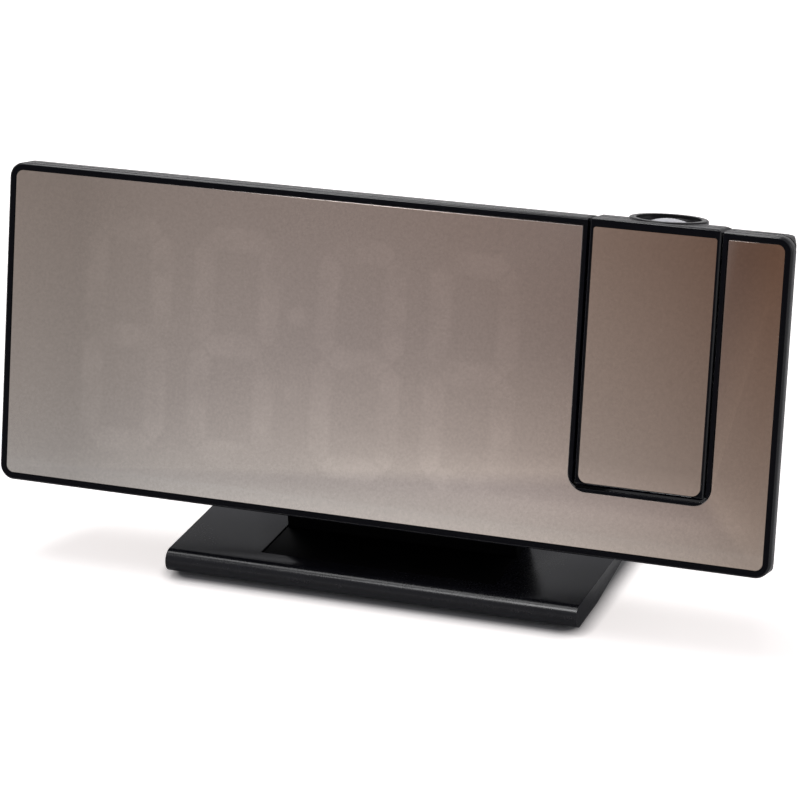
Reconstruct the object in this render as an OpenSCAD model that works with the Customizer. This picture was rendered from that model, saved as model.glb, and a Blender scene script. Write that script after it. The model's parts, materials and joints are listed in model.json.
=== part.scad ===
// Mirror-faced projection alarm clock: a wide tilted display housing on a flat
// base, with a swinging projector arm in a bay at its right-hand end.
// Millimetres. +Z is up, -Y faces the viewer, X runs along the face.
// The origin is on the table, under the centre of the base.

/* [Housing] */
// Width of the display housing
body_w = 190; // [182:1:220]
// Height of the housing, measured up its tilted face
body_h = 75.8; // [74:0.2:90]
// Depth of the housing at its thickest
body_d = 25; // [24.5:0.5:30]
// Radius of the housing's outline corners
body_r = 3.5; // [2.5:0.1:6]
// Wall thickness of the moulded covers
wall = 1.6; // [1.2:0.1:2]
// Depth of the front frame's rim
rim_d = 3.3; // [3:0.1:4.5]
// Depth at which the top and bottom start to slope in
shoulder_d = 6.5; // [6:0.5:9]
// How much each end of the back is narrower than the front
taper_x = 9; // [5:0.5:10]
// How much the top and bottom of the back are drawn in
taper_u = 6; // [3:0.5:7]
// Backward tilt of the face
tilt = 14.3; // [10:0.1:18]
// Height of the face's centre above the table
face_z = 55.5; // [54:0.5:70]
// How far the face's centre stands in front of the base's centre
face_y = 12.7; // [10:0.1:16]

/* [Mirror] */
// Width of the black bezel round the mirror
bezel_w = 1.7; // [1.2:0.1:3]
// Width of the bezel at the sides of the arm bay
bay_bezel = 1.05; // [0.9:0.05:2]
// Width of the bezel under the arm bay
sill_bezel = 0.8; // [0.6:0.05:2]
// Chamfer round the front edges
edge_chamfer = 0.4; // [0.2:0.05:0.6]
// Thickness of the mirror panels
mirror_t = 1.2; // [1:0.1:1.3]
// How far the mirrors sit below their bezels
mirror_sink = 0.2; // [0.1:0.05:0.3]
// Radius of the mirror's outer corners
mirror_r = 1.8; // [1:0.1:3]
// Radius of the mirror's corners under the arm bay
notch_r = 4.2; // [2:0.1:6]
// Width of the ledge behind each mirror's edge
ledge_w = 2.2; // [1.5:0.1:3]

/* [Projector arm] */
// Width of the arm
arm_w = 30.3; // [28:0.1:34]
// Length of the arm
arm_len = 60.4; // [56:0.2:64]
// Depth of the arm
arm_d = 23; // [22.5:0.1:23.4]
// How far the arm stands above the housing's top
arm_proud = 0.35; // [0:0.05:1]
// Gap all round the arm in its bay
arm_gap = 0.4; // [0.3:0.05:0.8]
// Width of the housing to the right of the bay
tower_w = 15.7; // [14.5:0.1:20]
// Depth of the arm's front bezel
arm_rim_d = 3; // [2.8:0.1:4]
// Width of the arm's bezel beside its mirror
arm_bezel_w = 0.9; // [0.7:0.1:2]
// Width of the arm's bezel above its mirror
arm_brow = 2.05; // [1.5:0.05:4]
// Width of the arm's bezel below its mirror
arm_sill = 0.72; // [0.6:0.02:2]
// Radius of the arm mirror's lower corners
arm_mirror_r = 2; // [1:0.1:4]
// Chamfer on the arm's lower front edge
arm_chamfer = 0.7; // [0.5:0.1:1]

/* [Arm pivot] */
// Radius of the hollow left pivot sleeve
sleeve_r = 3.45; // [3:0.05:4]
// Radius of the right pivot shaft
shaft_r = 3; // [2.5:0.05:3.5]
// Radial running clearance of the pivots and the lens barrel
run_fit = 0.05; // [0.03:0.01:0.1]
// Length of the arm's pivot bosses
pivot_boss = 4; // [3:0.5:5]

/* [Projection optics] */
// How far the lens's axis lies behind the arm's face
lens_d = 10; // [9.9:0.1:10.6]
// Radius of the focus ring
ring_r = 8.9; // [8.7:0.1:9.1]
// How far the focus ring stands above the arm
ring_proud = 0.2; // [0.1:0.1:1]
// Depth of the focus ring's head below the arm's top
ring_seat = 1.7; // [1.4:0.1:1.8]
// Radius of the focus ring's neck
ring_neck_r = 7.6; // [7.4:0.05:7.7]
// Radius of the dished mouth round the lens
mouth_r = 7.3; // [7:0.1:7.6]
// Depth of the dished mouth
mouth_depth = 1; // [0.6:0.1:1.5]
// Radius of the sliding lens barrel
barrel_r = 6.3; // [6:0.05:6.5]
// How far the lens barrel reaches below the arm's top
barrel_len = 20; // [17:0.5:22]
// Radius of the projection lens
lens_r = 4.6; // [4:0.1:5]
// How far the lens barrel can travel
lens_travel = 2; // [1:0.5:4]

/* [Display] */
// How far the time display's centre lies right of its window's centre
display_shift = 3.1; // [1:0.1:4]
// Width of one digit
digit_w = 21.8; // [18:0.2:24]
// Height of one digit
digit_h = 55; // [44:0.2:56]
// Width of a display segment
segment_w = 5.2; // [3:0.1:6]
// Distance between the two digits of a pair
digit_pitch = 27.4; // [26:0.2:29]
// Distance from the colon to the digits next to it
colon_pitch = 15.5; // [14:0.1:16]
// Depth of the segment light box
light_box_d = 6; // [5:0.5:7]

/* [Rear controls] */
// Distance between button centres
button_pitch = 16; // [14:0.5:17]
// Length of a button
button_w = 10; // [8:0.5:12]
// Height of a button
button_h = 5; // [4:0.5:6]
// How far a button moves
button_travel = 0.6; // [0.3:0.1:1]
// Radius of the battery door
door_r = 12.4; // [11.6:0.1:13]

/* [Stand] */
// Width of the base
base_w = 102; // [90:1:130]
// Depth of the base
base_d = 50; // [46:1:70]
// Thickness of the base at its rolled front edge
base_t = 5.5; // [5.2:0.1:7]
// Gap between the base shell and the table
base_gap = 1; // [0.8:0.1:1.5]
// How much the underside lifts towards the back
base_lift = 2.2; // [1:0.1:2.4]
// Width of the neck
neck_w = 58; // [45:1:70]
// Thickness of the neck from front to back
neck_d = 8; // [6:0.5:10]
// Length of the neck's foot in front of it
tongue_len = 15.3; // [10:0.1:17]

/* [Hidden] */

$fn = 64;
past = 1;            // how far a cut runs past the surface it opens
fit = 0.1;           // assembly clearance between parts that don't move
slide_fit = 0.2;     // clearance round a button or the battery door

half_w = body_w / 2;
half_h = body_h / 2;
mirror_back = mirror_sink + mirror_t;

// Arm and bay
bay_w = arm_w + 2 * arm_gap;
bay_x1 = half_w - tower_w;
bay_x0 = bay_x1 - bay_w;
arm_x = (bay_x0 + bay_x1) / 2;
arm_top = half_h + arm_proud;
back_slope = taper_u / (body_d - shoulder_d);
arm_bottom = arm_top - arm_len;
pivot_d = arm_d / 2;
pivot_u = arm_bottom + arm_d / 2;
bay_floor = arm_bottom - 1.2 * arm_gap;
bay_r = norm([pivot_d, arm_d / 2 - arm_chamfer]) + 0.8 * arm_gap;
arm_corner_r = 1.2;
arm_back_chamfer = 1;
arm_x0 = arm_x - arm_w / 2;
arm_x1 = arm_x + arm_w / 2;

// Screws that hold the rear cover
post_r = 2.6;
screw_r = 1.2;
screw_head_r = 2.4;
screw_head_h = 1.6;
screw_grip = 0.05;   // radial clearance of a screw in its pilot hole
snug = 0.02;         // radial clearance of a pressed or clipped-in piece
joint_d = 14;        // depth at which frame bosses meet cover posts
post_bite = 0.7;     // how far a post runs into the wall beside it
post_xs = [taper_x + wall + post_r - post_bite - half_w, bay_x0 - wall - post_r - fit,
           bay_x1 + wall + post_r];
post_u = half_h - taper_u - wall - post_r + post_bite;
cover_screw_len = 9;
head_d = body_d - 7; // depth of the screw-head seats
back_chamfer = 1.2;
seam = 0.4;          // width and depth of the shadow line between the covers

// Display stack, front to back
display_x = (bay_x0 - half_w) / 2 + display_shift;
box_rim = 4;         // light box beside the outer digits
box_w = 2 * (colon_pitch + digit_pitch + box_rim) + digit_w;
board_d = rim_d + light_box_d;
box_h = 2 * (half_h - wall - fit - back_slope * (board_d - shoulder_d));
board_t = 1.6;
board_back = board_d + board_t;
board_h = box_h - 4;
film_t = 0.4;
lamp_size = [3.5, 2.8];
lamp_t = 1.9;
colon_r = 2.3;
colon_u = 8.7;
board_screw_len = 4.5;
board_screw_x = colon_pitch + digit_pitch / 2;
board_screw_u = board_h / 2 - screw_head_r;
support_r = 2;
support_u = 14;

// Rear controls, seen in the housing's own frame
buttons = ["button_mode", "button_alarm", "button_down", "button_up", "button_snooze"];
button_u = 22;
button_proud = 0.9;
button_crown = 0.3;   // step round the top of a button
button_flange_t = 0.8;
button_flange = 1;    // how far a button's flange runs past its cap
switch_w = 6;
switch_t = 3.5;
plunger_r = 1.7;
plunger_t = 4.2;     // height of a switch's plunger above the board
stem_r = 1.5;
usb_x = taper_x - half_w + 22;
dc_x = usb_x + 20;
socket_rise = 13.9;  // sockets above the housing's lower edge
socket_u = socket_rise - half_h;
door_x = usb_x + 12;
door_u = -3;
door_t = 2;
door_tab_r = door_r + 1.6;
cell_r = 10;
cell_t = 3.2;
cell_back = body_d - door_t - wall;
cell_step = 0.6;     // height of the cell's crimped shoulder
cell_rim = 1.2;      // width of that shoulder
holder_wall = 1.2;
holder_lip = 0.6;    // how far the holder stands past the cell
door_tab_w = 4.4;
contact_t = 0.3;
usb_size = [13.2, 5.8];
usb_wall = 0.35;
usb_floor = 2;
usb_tongue = [11, 1.8];
dc_r = 4.2;
dc_body = 9;
dc_bore_r = 2.9;
dc_bore_depth = 9.5;
dc_pin_r = 1;
buzzer_side = 44.5;  // buzzer right of the display's middle, on the same board
buzzer_x = display_x + buzzer_side;
buzzer_u = 8;
buzzer_r = 6;
buzzer_h = 8.5;
buzzer_port_r = 1.2;
grille_hole_r = 0.8;
grille_pitch = 2.4;

// Arm optics, measured down from the arm's top
clip_t = 0.8;
clip_groove = 0.5;
clip_grip = 0.8;     // how far the ring's clip stands out of its groove
top_block = back_slope * (lens_d + ring_neck_r + clip_grip - shoulder_d) + wall + 0.4;
ring_neck_end = arm_top - top_block - 2.25 * clip_t;
barrel_top = arm_top + ring_proud - mouth_depth;
barrel_end = arm_top - barrel_len;
lens_t = 3;
lens_crown = 0.4;
lens_rim = 0.8;      // barrel's ledge under the lens
tube_r = 8.2;
tube_top = ring_neck_end - 0.6;
tube_step = barrel_end - lens_travel - 2;
aperture_r = 4.5;
slide_size = [12.4, 10.4];
slide_t = 1.1;
slide_u = tube_step - 3;
condenser_r = 6.5;
condenser_ball_r = 9;
condenser_t = 3.4;
condenser_u = slide_u - 4;
tube_end = condenser_u - 9;
flange_t = 1.6;
flange_d = arm_d - arm_rim_d - wall - 0.4;
rail_w = 3.5;        // rails inside the arm that carry the tube's flange
rail_t = 1.5;
lamp_board_size = [17, 14, 1.4];
lamp_base_r = 2.8;
lamp_base_t = 1.4;
lamp_dome_r = 2.5;
arm_post_r = 2.1;
arm_screw_r = 0.8;
arm_screw_head_r = 1.4;
arm_screw_head_h = 1.2;
arm_head_depth = 5;  // arm screws' head seats, in from the arm's back
arm_post_x = arm_w / 2 - wall - arm_post_r - 0.2;
arm_post_us = [arm_top - 10, arm_top - 36];
pivot_flange = 1.2;
washer_t = 0.8;

// Stand
base_top = base_gap + base_t;
nose_r = base_t / 2;
tail_r = (base_t - base_lift) / 2;
lift_y0 = -10;
lift_y1 = 7.5;
shell_t = 2;
seat_depth = 1.8;
seat_z = base_top - seat_depth;
plate_t = 3.4;
plate_hi = -2;       // top of the plate on the housing's back
plate_r = 4;
bend_u = -half_h - 1; // where the plate turns down into the upright
neck_back_y = table_y(body_d + plate_t, bend_u);
neck_front_y = neck_back_y - neck_d;
tongue_front_y = neck_front_y - tongue_len;
tongue_sink = 0.2;
tray_margin = 5;
tray_wall = 1.5;
tray_z = 0.5;
tray_floor = 1.2;
seat_roof = 1.2;     // shell's roof under the neck's seat
base_post_r = 3;
weight_margin = 4;
weight_t = 1;
foot_t = 1.1;
foot_inset = 3;      // how far the strips' ends stop short of the tray's
foot_w = 7;
foot_ys = [-15.5, 14];
base_head_h = 0.8;
base_head_sink = 0.5;
base_screw_len = 3.4;
seat_screw_bite = 1.1; // how far the seat's screws reach into the neck's foot
base_screw_x = base_w / 2 - 12;
base_screw_y = 7;
neck_screw_x = neck_w / 2 - 7;
neck_screw_us = [plate_hi - 6, plate_hi - 20];
neck_screw_len = 8;
neck_boss_r = 3.4;
foot_screw_y = (tongue_front_y + neck_front_y) / 2;

black = [0.05, 0.05, 0.055];
dark = [0.12, 0.12, 0.13];
mirror_tint = [0.56, 0.51, 0.47];
board_green = [0.08, 0.30, 0.16];
steel = [0.72, 0.73, 0.75];
milk = [0.9, 0.9, 0.88];
clear = [0.85, 0.9, 0.92, 0.5];

// ---- Placing helpers ----

// The housing's own frame: X across, Y back into the housing, Z up its face
module in_housing() {
    translate([0, -face_y, face_z]) rotate([-tilt, 0, 0]) children();
}

// A face drawing (across, up) made solid from depth d0 to depth d1
module along_depth(d0, d1) {
    translate([0, d1, 0]) rotate([90, 0, 0]) linear_extrude(d1 - d0) children();
}

// A side drawing (depth, up) made solid from x0 to x1
module along_width(x0, x1) {
    translate([x0, 0, 0]) rotate([90, 0, 90]) linear_extrude(x1 - x0) children();
}

// A round bar along the depth
module depth_bar(x, u, r, d0, d1) {
    translate([x, d1, u]) rotate([90, 0, 0]) cylinder(r = r, h = d1 - d0);
}

// A round bar along the width, on the arm's pivot
module pivot_bar(r, x0, x1) {
    translate([x0, pivot_d, pivot_u]) rotate([0, 90, 0]) cylinder(r = r, h = x1 - x0);
}

// A round bar up the arm's optical axis
module lens_bar(r, u0, u1) {
    translate([arm_x, lens_d, u0]) cylinder(r = r, h = u1 - u0);
}

// A rounded slab from depth 0 to depth d1 with a chamfer c round its front edge
module chamfered_slab(w, h, r, c, d1) {
    along_depth(c, d1) rounded_rect(w, h, r);
    along_width(r - w / 2, w / 2 - r) polygon([[0, c - h / 2], [c, -h / 2], [c, h / 2], [0, h / 2 - c]]);
    translate([0, 0, r - h / 2]) linear_extrude(h - 2 * r)
        polygon([[c - w / 2, 0], [w / 2 - c, 0], [w / 2, c], [-w / 2, c]]);
    for (sx = [-1, 1], sz = [-1, 1])
        translate([sx * (w / 2 - r), c, sz * (h / 2 - r)]) rotate([90, 0, 0])
            cylinder(r1 = r, r2 = r - c, h = c);
}

module rounded_rect(w, h, r) {
    square([w - 2 * r, h], center = true);
    square([w, h - 2 * r], center = true);
    for (sx = [-1, 1], sy = [-1, 1])
        translate([sx * (w / 2 - r), sy * (h / 2 - r)]) circle(r);
}

module slot_shape(w, h) {
    square([w - h, h], center = true);
    for (s = [-1, 1]) translate([s * (w - h) / 2, 0]) circle(h / 2);
}

// A pan-head screw whose head seats at depth d and points to the front
module screw(x, u, d, length) {
    depth_bar(x, u, screw_r, d - length, d);
    difference() {
        depth_bar(x, u, screw_head_r, d, d + screw_head_h);
        for (turn = [0, 90])
            translate([x, d + screw_head_h, u]) rotate([0, turn, 0]) cube([3, 1.4, 0.6], center = true);
    }
}

// ---- Housing ----

// The housing's outer form, or a smaller copy of it set in from every wall
module housing_form(inset, d0, d1) {
    back = body_d - inset;
    c = back_chamfer;
    slope_x = taper_x / (body_d - rim_d);
    intersection() {
        along_depth(d0, d1) rounded_rect(body_w - 2 * inset, body_h - 2 * inset, body_r - inset);
        along_width(-half_w, half_w) for (s = [-1, 1])
            polygon([[0, 0], [0, s * (half_h - inset)], [shoulder_d, s * (half_h - inset)],
                     [back - c, s * (half_h - inset - taper_u + c * back_slope)],
                     [back, s * (half_h - inset - taper_u - c)], [back, 0]]);
        translate([0, 0, -half_h]) linear_extrude(body_h) for (s = [-1, 1])
            polygon([[0, 0], [s * (half_w - inset), 0], [s * (half_w - inset), rim_d],
                     [s * (half_w - inset - taper_x + c * slope_x), back - c],
                     [s * (half_w - inset - taper_x - c), back], [0, back]]);
    }
}

// The space the arm swings in: an open slot over a round, dished floor
module bay_space(grow) {
    translate([bay_x0 - grow, -past, bay_floor - grow])
        cube([bay_w + 2 * grow, body_d + 2 * past, body_h]);
    pivot_bar(bay_r + grow, bay_x0 - grow, bay_x1 + grow);
}

// Outline of the mirror, grown or shrunk by a margin; it runs round the bay
module mirror_outline(margin) {
    edge = bezel_w + margin;
    side = bay_bezel + margin;
    notch_floor = bay_floor - sill_bezel - margin;
    notch_h = 2 * (half_h - notch_floor);
    difference() {
        rounded_rect(body_w - 2 * edge, body_h - 2 * edge, mirror_r);
        translate([arm_x, notch_floor + notch_h / 2]) rounded_rect(bay_w + 2 * side, notch_h, notch_r);
    }
}

module post_places() {
    for (x = post_xs, u = [-post_u, post_u]) translate([x, 0, u]) children();
}

// Front frame: bezel, mirror pocket, ledge behind the mirror and screw bosses
module front_frame() color(black) in_housing() {
    difference() {
        union() {
            difference() {
                chamfered_slab(body_w, body_h, body_r, edge_chamfer, rim_d);
                along_depth(-past, mirror_back) mirror_outline(-fit / 2);
                along_depth(mirror_back - fit, rim_d + past) mirror_outline(ledge_w);
            }
            post_places() {
                depth_bar(0, 0, post_r, mirror_back, joint_d);
            }
            for (x = post_xs, s = [-1, 1])
                boss_web(x, s);
        }
        bay_space(0);
        post_places() depth_bar(0, 0, screw_r + screw_grip, mirror_back + 1.5, joint_d + past);
    }
}

// Flat web from the bezel's ledge to a screw boss
module boss_web(x, s) {
    reach = half_h - bezel_w - fit - post_u;
    translate([x - post_r, mirror_back, s > 0 ? post_u : -post_u - reach])
        cube([2 * post_r, rim_d - mirror_back, reach]);
}

module mirror_panel() color(mirror_tint) in_housing() {
    along_depth(mirror_sink, mirror_back) mirror_outline(fit / 2);
}

// Rear cover: tapered moulded shell with the bay's walls, posts and openings
module rear_cover() color(black) in_housing() {
    difference() {
        union() {
            difference() {
                housing_form(0, rim_d, body_d);
                difference() {
                    housing_form(wall, rim_d - past, body_d);
                    bay_space(wall);
                }
            }
            intersection() {
                housing_form(0, rim_d, body_d);
                union() {
                    post_places() depth_bar(0, 0, post_r + 0.6, joint_d, body_d);
                    for (s = [-1, 1], u = [-support_u, support_u])
                        depth_bar(display_x + s * (box_w / 2 - 5), u, support_r, board_back, body_d);
                    neck_screw_places()
                        depth_bar(0, 0, neck_boss_r, body_d - neck_screw_len - past, body_d);
                }
            }
            // longer bearing for the pivot shaft inside the tower
            pivot_bar(shaft_r + 2, bay_x1, bay_x1 + pivot_boss);
        }
        bay_space(0);
        pivot_bar(sleeve_r + run_fit, bay_x0 - wall - past, bay_x0 + past);
        pivot_bar(shaft_r + run_fit, bay_x1 - past, bay_x1 + pivot_boss + past);
        post_places() {
            depth_bar(0, 0, screw_r + screw_grip + 0.2, joint_d - past, body_d + past);
            depth_bar(0, 0, screw_head_r + slide_fit, head_d, body_d + past);
        }
        neck_screw_places() depth_bar(0, 0, screw_r + screw_grip, body_d - neck_screw_len, body_d + past);
        for (i = [0 : len(buttons) - 1])
            button_place(i) along_depth(body_d - wall - past, body_d + past)
                slot_shape(button_w + 2 * slide_fit, button_h + 2 * slide_fit);
        depth_bar(door_x, door_u, door_r + slide_fit, body_d - wall - past, body_d + past);
        door_tab_slots(slide_fit);
        translate([usb_x, 0, socket_u]) along_depth(body_d - wall - past, body_d + past)
            square([usb_size[0] + 2 * fit, usb_size[1] + 2 * fit], center = true);
        depth_bar(dc_x, socket_u, dc_r + fit, body_d - wall - past, body_d + past);
        buzzer_grille();
        // shadow line where the cover meets the front frame
        difference() {
            along_depth(rim_d - past, rim_d + seam) square([body_w + 2, body_h + 2], center = true);
            along_depth(rim_d - 2 * past, rim_d + past)
                rounded_rect(body_w - 2 * seam, body_h - 2 * seam, body_r - seam);
            bay_space(wall);
        }
    }
}

// Entry slots in the cover's edge for the battery door's two tabs
module door_tab_slots(clearance) {
    for (turn = [0, 180])
        translate([door_x, body_d - wall - past, door_u]) rotate([0, turn + 90, 0])
            translate([0, 0, -door_tab_w / 2 - clearance])
                cube([door_tab_r + clearance, wall + 2 * past, door_tab_w + 2 * clearance]);
}

// Rings of round holes over the sounder
module buzzer_grille() {
    depth_bar(buzzer_x, buzzer_u, grille_hole_r, body_d - wall - past, body_d + past);
    for (ring = [1, 2], i = [0 : 6 * ring - 1]) {
        reach = grille_pitch * ring;
        depth_bar(buzzer_x + reach * cos(i * 60 / ring), buzzer_u + reach * sin(i * 60 / ring),
                  grille_hole_r, body_d - wall - past, body_d + past);
    }
}

module cover_screws() color(steel) in_housing() {
    post_places() screw(0, 0, head_d, cover_screw_len);
}

// ---- Display stack ----

module segment_shape(length) {
    tip = segment_w / 2;
    polygon([[-length / 2, 0], [tip - length / 2, tip], [length / 2 - tip, tip],
             [length / 2, 0], [length / 2 - tip, -tip], [tip - length / 2, -tip]]);
}

// Puts the children at each segment of one digit: three across, four upright
module digit_segments() {
    a = (digit_w - segment_w) / 2;
    b = (digit_h - segment_w) / 2;
    for (u = [-b, 0, b]) translate([0, u]) children(0);
    for (x = [-a, a], s = [-1, 1]) translate([x, s * b / 2]) rotate(90) children(1);
}

module digit_places() {
    for (s = [-1, 1], step = [0, 1])
        translate([display_x + s * (colon_pitch + step * digit_pitch), 0]) children();
}

module digit_windows() {
    gap = 0.7;
    digit_places() digit_segments() {
        segment_shape(digit_w - segment_w - gap);
        segment_shape((digit_h - segment_w) / 2 - gap);
    }
    for (s = [-1, 1]) translate([display_x, s * colon_u]) circle(colon_r);
}

module diffuser_film() color(milk) in_housing() {
    translate([display_x, 0, 0]) along_depth(rim_d, rim_d + film_t)
        square([box_w - 4, digit_h + 4], center = true);
}

// Light box: one well for each display segment, so its light stays inside it
module light_box() color(milk) in_housing() {
    difference() {
        translate([display_x, 0, 0]) along_depth(rim_d, board_d)
            square([box_w, box_h], center = true);
        translate([display_x, 0, 0]) along_depth(rim_d - past, rim_d + film_t)
            square([box_w - 4 + fit, digit_h + 4 + fit], center = true);
        along_depth(rim_d, board_d + past) digit_windows();
        board_screw_places()
            depth_bar(0, 0, screw_r + screw_grip, board_back - board_screw_len - past, board_back);
        post_clearance(rim_d, board_d);
    }
}

// Notches that let the screw bosses past the light box and the board
module post_clearance(d0, d1) {
    post_places() depth_bar(0, 0, post_r + slide_fit, d0 - past, d1 + past);
}

module board_screw_places() {
    for (x = [-board_screw_x, board_screw_x], u = [-board_screw_u, board_screw_u])
        translate([display_x + x, 0, u]) children();
}

module display_board() color(board_green) in_housing() {
    difference() {
        translate([display_x, 0, 0]) along_depth(board_d, board_back)
            square([box_w, board_h], center = true);
        board_screw_places() depth_bar(0, 0, screw_r + screw_grip, board_d - past, board_back + past);
        post_clearance(board_d, board_back);
    }
}

module segment_lamps() color(milk) in_housing() {
    along_depth(board_d - lamp_t, board_d) {
        digit_places() digit_segments() {
            square(lamp_size, center = true);
            square(lamp_size, center = true);
        }
        for (s = [-1, 1]) translate([display_x, s * colon_u])
            square(lamp_size - [0.6, 0], center = true);
    }
}

module board_screws() color(steel) in_housing() {
    board_screw_places() screw(0, 0, board_back, board_screw_len);
}

// ---- Rear controls and sockets ----

module button_place(i) {
    translate([display_x + (i - 2) * button_pitch, 0, button_u]) children();
}

// Push button: oblong cap, retaining flange behind the cover, and a stem
module push_button(i) color(dark) in_housing() button_place(i) {
    crown_d = body_d + button_proud - button_crown;
    along_depth(body_d - wall, crown_d) slot_shape(button_w, button_h);
    along_depth(crown_d, crown_d + button_crown)
        slot_shape(button_w - 2 * button_crown, button_h - 2 * button_crown);
    along_depth(body_d - wall - button_flange_t, body_d - wall)
        slot_shape(button_w + 2 * button_flange, button_h + 2 * button_flange);
    depth_bar(0, 0, stem_r, board_back + plunger_t + fit + button_travel, body_d - wall);
}

module tact_switches() color(dark) in_housing() {
    for (i = [0 : len(buttons) - 1]) button_place(i) {
        along_depth(board_back, board_back + switch_t) square(switch_w, center = true);
        depth_bar(0, 0, plunger_r, board_back, board_back + plunger_t);
    }
}

module buzzer() color(dark) in_housing() {
    difference() {
        depth_bar(buzzer_x, buzzer_u, buzzer_r, board_back, board_back + buzzer_h);
        depth_bar(buzzer_x, buzzer_u, buzzer_port_r, board_back + buzzer_h - 1.5,
                  board_back + buzzer_h + past);
    }
}

// Barrel inlet for the power lead
module dc_socket() color(dark) in_housing() {
    difference() {
        union() {
            depth_bar(dc_x, socket_u, dc_r, board_back, body_d);
            translate([dc_x, 0, socket_u]) along_depth(board_back, body_d - wall - fit)
                square(dc_body, center = true);
        }
        depth_bar(dc_x, socket_u, dc_bore_r, body_d - dc_bore_depth, body_d + past);
    }
    depth_bar(dc_x, socket_u, dc_pin_r, body_d - dc_bore_depth - 0.5, body_d - 1);
}

// Charging port: folded steel shell with its contact tongue
module usb_socket() color(steel) in_housing() {
    translate([usb_x, 0, socket_u]) {
        difference() {
            along_depth(board_back, body_d) square(usb_size, center = true);
            along_depth(board_back + usb_floor, body_d + past)
                square(usb_size - 2 * [usb_wall, usb_wall], center = true);
        }
        translate([0, 0, usb_tongue[1] / 2]) along_depth(board_back + 1, body_d - 1.5)
            square(usb_tongue, center = true);
    }
}

module battery_holder() color(dark) in_housing() {
    difference() {
        depth_bar(door_x, door_u, cell_r + slide_fit + holder_wall, board_back, cell_back + holder_lip);
        depth_bar(door_x, door_u, cell_r + slide_fit, cell_back - cell_t - contact_t, body_d);
        // thumb notch for lifting the cell out
        translate([door_x - 0.4 * cell_r, cell_back - cell_t, door_u + 0.8 * cell_r])
            cube([0.8 * cell_r, body_d, 0.6 * cell_r]);
    }
}

module battery_contact() color(steel) in_housing() {
    translate([door_x, 0, door_u]) along_depth(cell_back - cell_t - contact_t, cell_back - cell_t)
        slot_shape(1.6 * cell_r, 0.4 * cell_r);
}

module coin_cell() color(steel) in_housing() {
    depth_bar(door_x, door_u, cell_r, cell_back - cell_t, cell_back - cell_step);
    depth_bar(door_x, door_u, cell_r - cell_rim, cell_back - cell_step, cell_back);
}

// Twist-lock battery door with two tabs and a coin slot
module battery_door() color(dark) in_housing() {
    difference() {
        union() {
            depth_bar(door_x, door_u, door_r, body_d - door_t, body_d);
            intersection() {
                depth_bar(door_x, door_u, door_tab_r, body_d - wall - 1.1, body_d - wall - fit);
                translate([door_x, 0, door_u]) along_depth(body_d - 2 * door_t, body_d)
                    square([2 * door_tab_r, door_tab_w], center = true);
            }
        }
        translate([door_x, 0, door_u]) along_depth(body_d - 0.9, body_d + past) slot_shape(14, 2.2);
    }
}

// ---- Projector arm ----

// Height of the arm's top at a depth: flat in front, then falling as the housing does
function arm_roof(d) = arm_top - back_slope * max(0, d - shoulder_d);

// Side drawing of the arm: flat front, round lower end about the pivot
module arm_side(inset) {
    translate([pivot_d, pivot_u]) circle(arm_d / 2 - inset);
    cut = arm_chamfer;
    polygon([[inset, arm_bottom + cut + inset], [cut + inset, arm_bottom + inset],
             [pivot_d, arm_bottom + inset], [pivot_d, pivot_u], [arm_d - inset, pivot_u],
             [arm_d - inset, arm_roof(arm_d) - arm_back_chamfer - inset],
             [arm_d - arm_back_chamfer - inset, arm_roof(arm_d - arm_back_chamfer) - inset],
             [shoulder_d, arm_top - inset], [edge_chamfer + inset, arm_top - inset],
             [inset, arm_top - edge_chamfer - inset]]);
}

module arm_form(inset, d0, d1) {
    intersection() {
        translate([arm_x, 0, arm_top - arm_len / 2]) along_depth(d0, d1)
            rounded_rect(arm_w - 2 * inset, arm_len - 2 * inset, max(arm_corner_r - inset, 0.4));
        along_width(arm_x0, arm_x1) arm_side(inset);
        translate([arm_x, 0, arm_bottom]) linear_extrude(arm_len)
            polygon([[inset + edge_chamfer - arm_w / 2, inset], [inset - arm_w / 2, inset + edge_chamfer],
                     [inset - arm_w / 2, arm_d], [arm_w / 2 - inset, arm_d],
                     [arm_w / 2 - inset, inset + edge_chamfer], [arm_w / 2 - inset - edge_chamfer, inset]]);
    }
}

// Outline of the arm's mirror: square at the top, rounded at the bottom
module arm_mirror_outline(margin) {
    w = arm_w - 2 * (arm_bezel_w + margin);
    lo = arm_bottom + arm_sill + margin;
    hi = arm_top - arm_brow - margin;
    translate([arm_x, (lo + hi) / 2]) difference() {
        rounded_rect(w, hi - lo, 0.6);
        for (s = [-1, 1]) translate([s * w / 2, (lo - hi) / 2]) difference() {
            square(2 * arm_mirror_r, center = true);
            translate([-s * arm_mirror_r, arm_mirror_r]) circle(arm_mirror_r);
        }
    }
}

module arm_post_places() {
    for (s = [-1, 1], u = arm_post_us) translate([arm_x + s * arm_post_x, 0, u]) children();
}

// Seat for the focus ring in the arm's top
module ring_seat_cut() {
    lens_bar(ring_r + fit, arm_top - ring_seat - fit, arm_top + past);
    lens_bar(ring_neck_r + run_fit, arm_top - top_block - past, arm_top);
}

module arm_bezel() color(black) in_housing() {
    difference() {
        union() {
            difference() {
                arm_form(0, 0, arm_rim_d);
                along_depth(-past, mirror_back) arm_mirror_outline(-fit / 2);
                along_depth(mirror_back - fit, arm_rim_d + past) arm_mirror_outline(ledge_w);
            }
            for (s = [-1, 1], u = arm_post_us)
                translate([arm_x + s * (arm_w / 2 - arm_bezel_w - arm_post_r), 0, u])
                    along_depth(mirror_back, arm_rim_d) square(2 * arm_post_r, center = true);
        }
        arm_post_places() depth_bar(0, 0, arm_screw_r + screw_grip, mirror_back - past, arm_rim_d + past);
        ring_seat_cut();
    }
}

module arm_mirror() color(mirror_tint) in_housing() {
    along_depth(mirror_sink, mirror_back) arm_mirror_outline(fit / 2);
}

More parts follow.
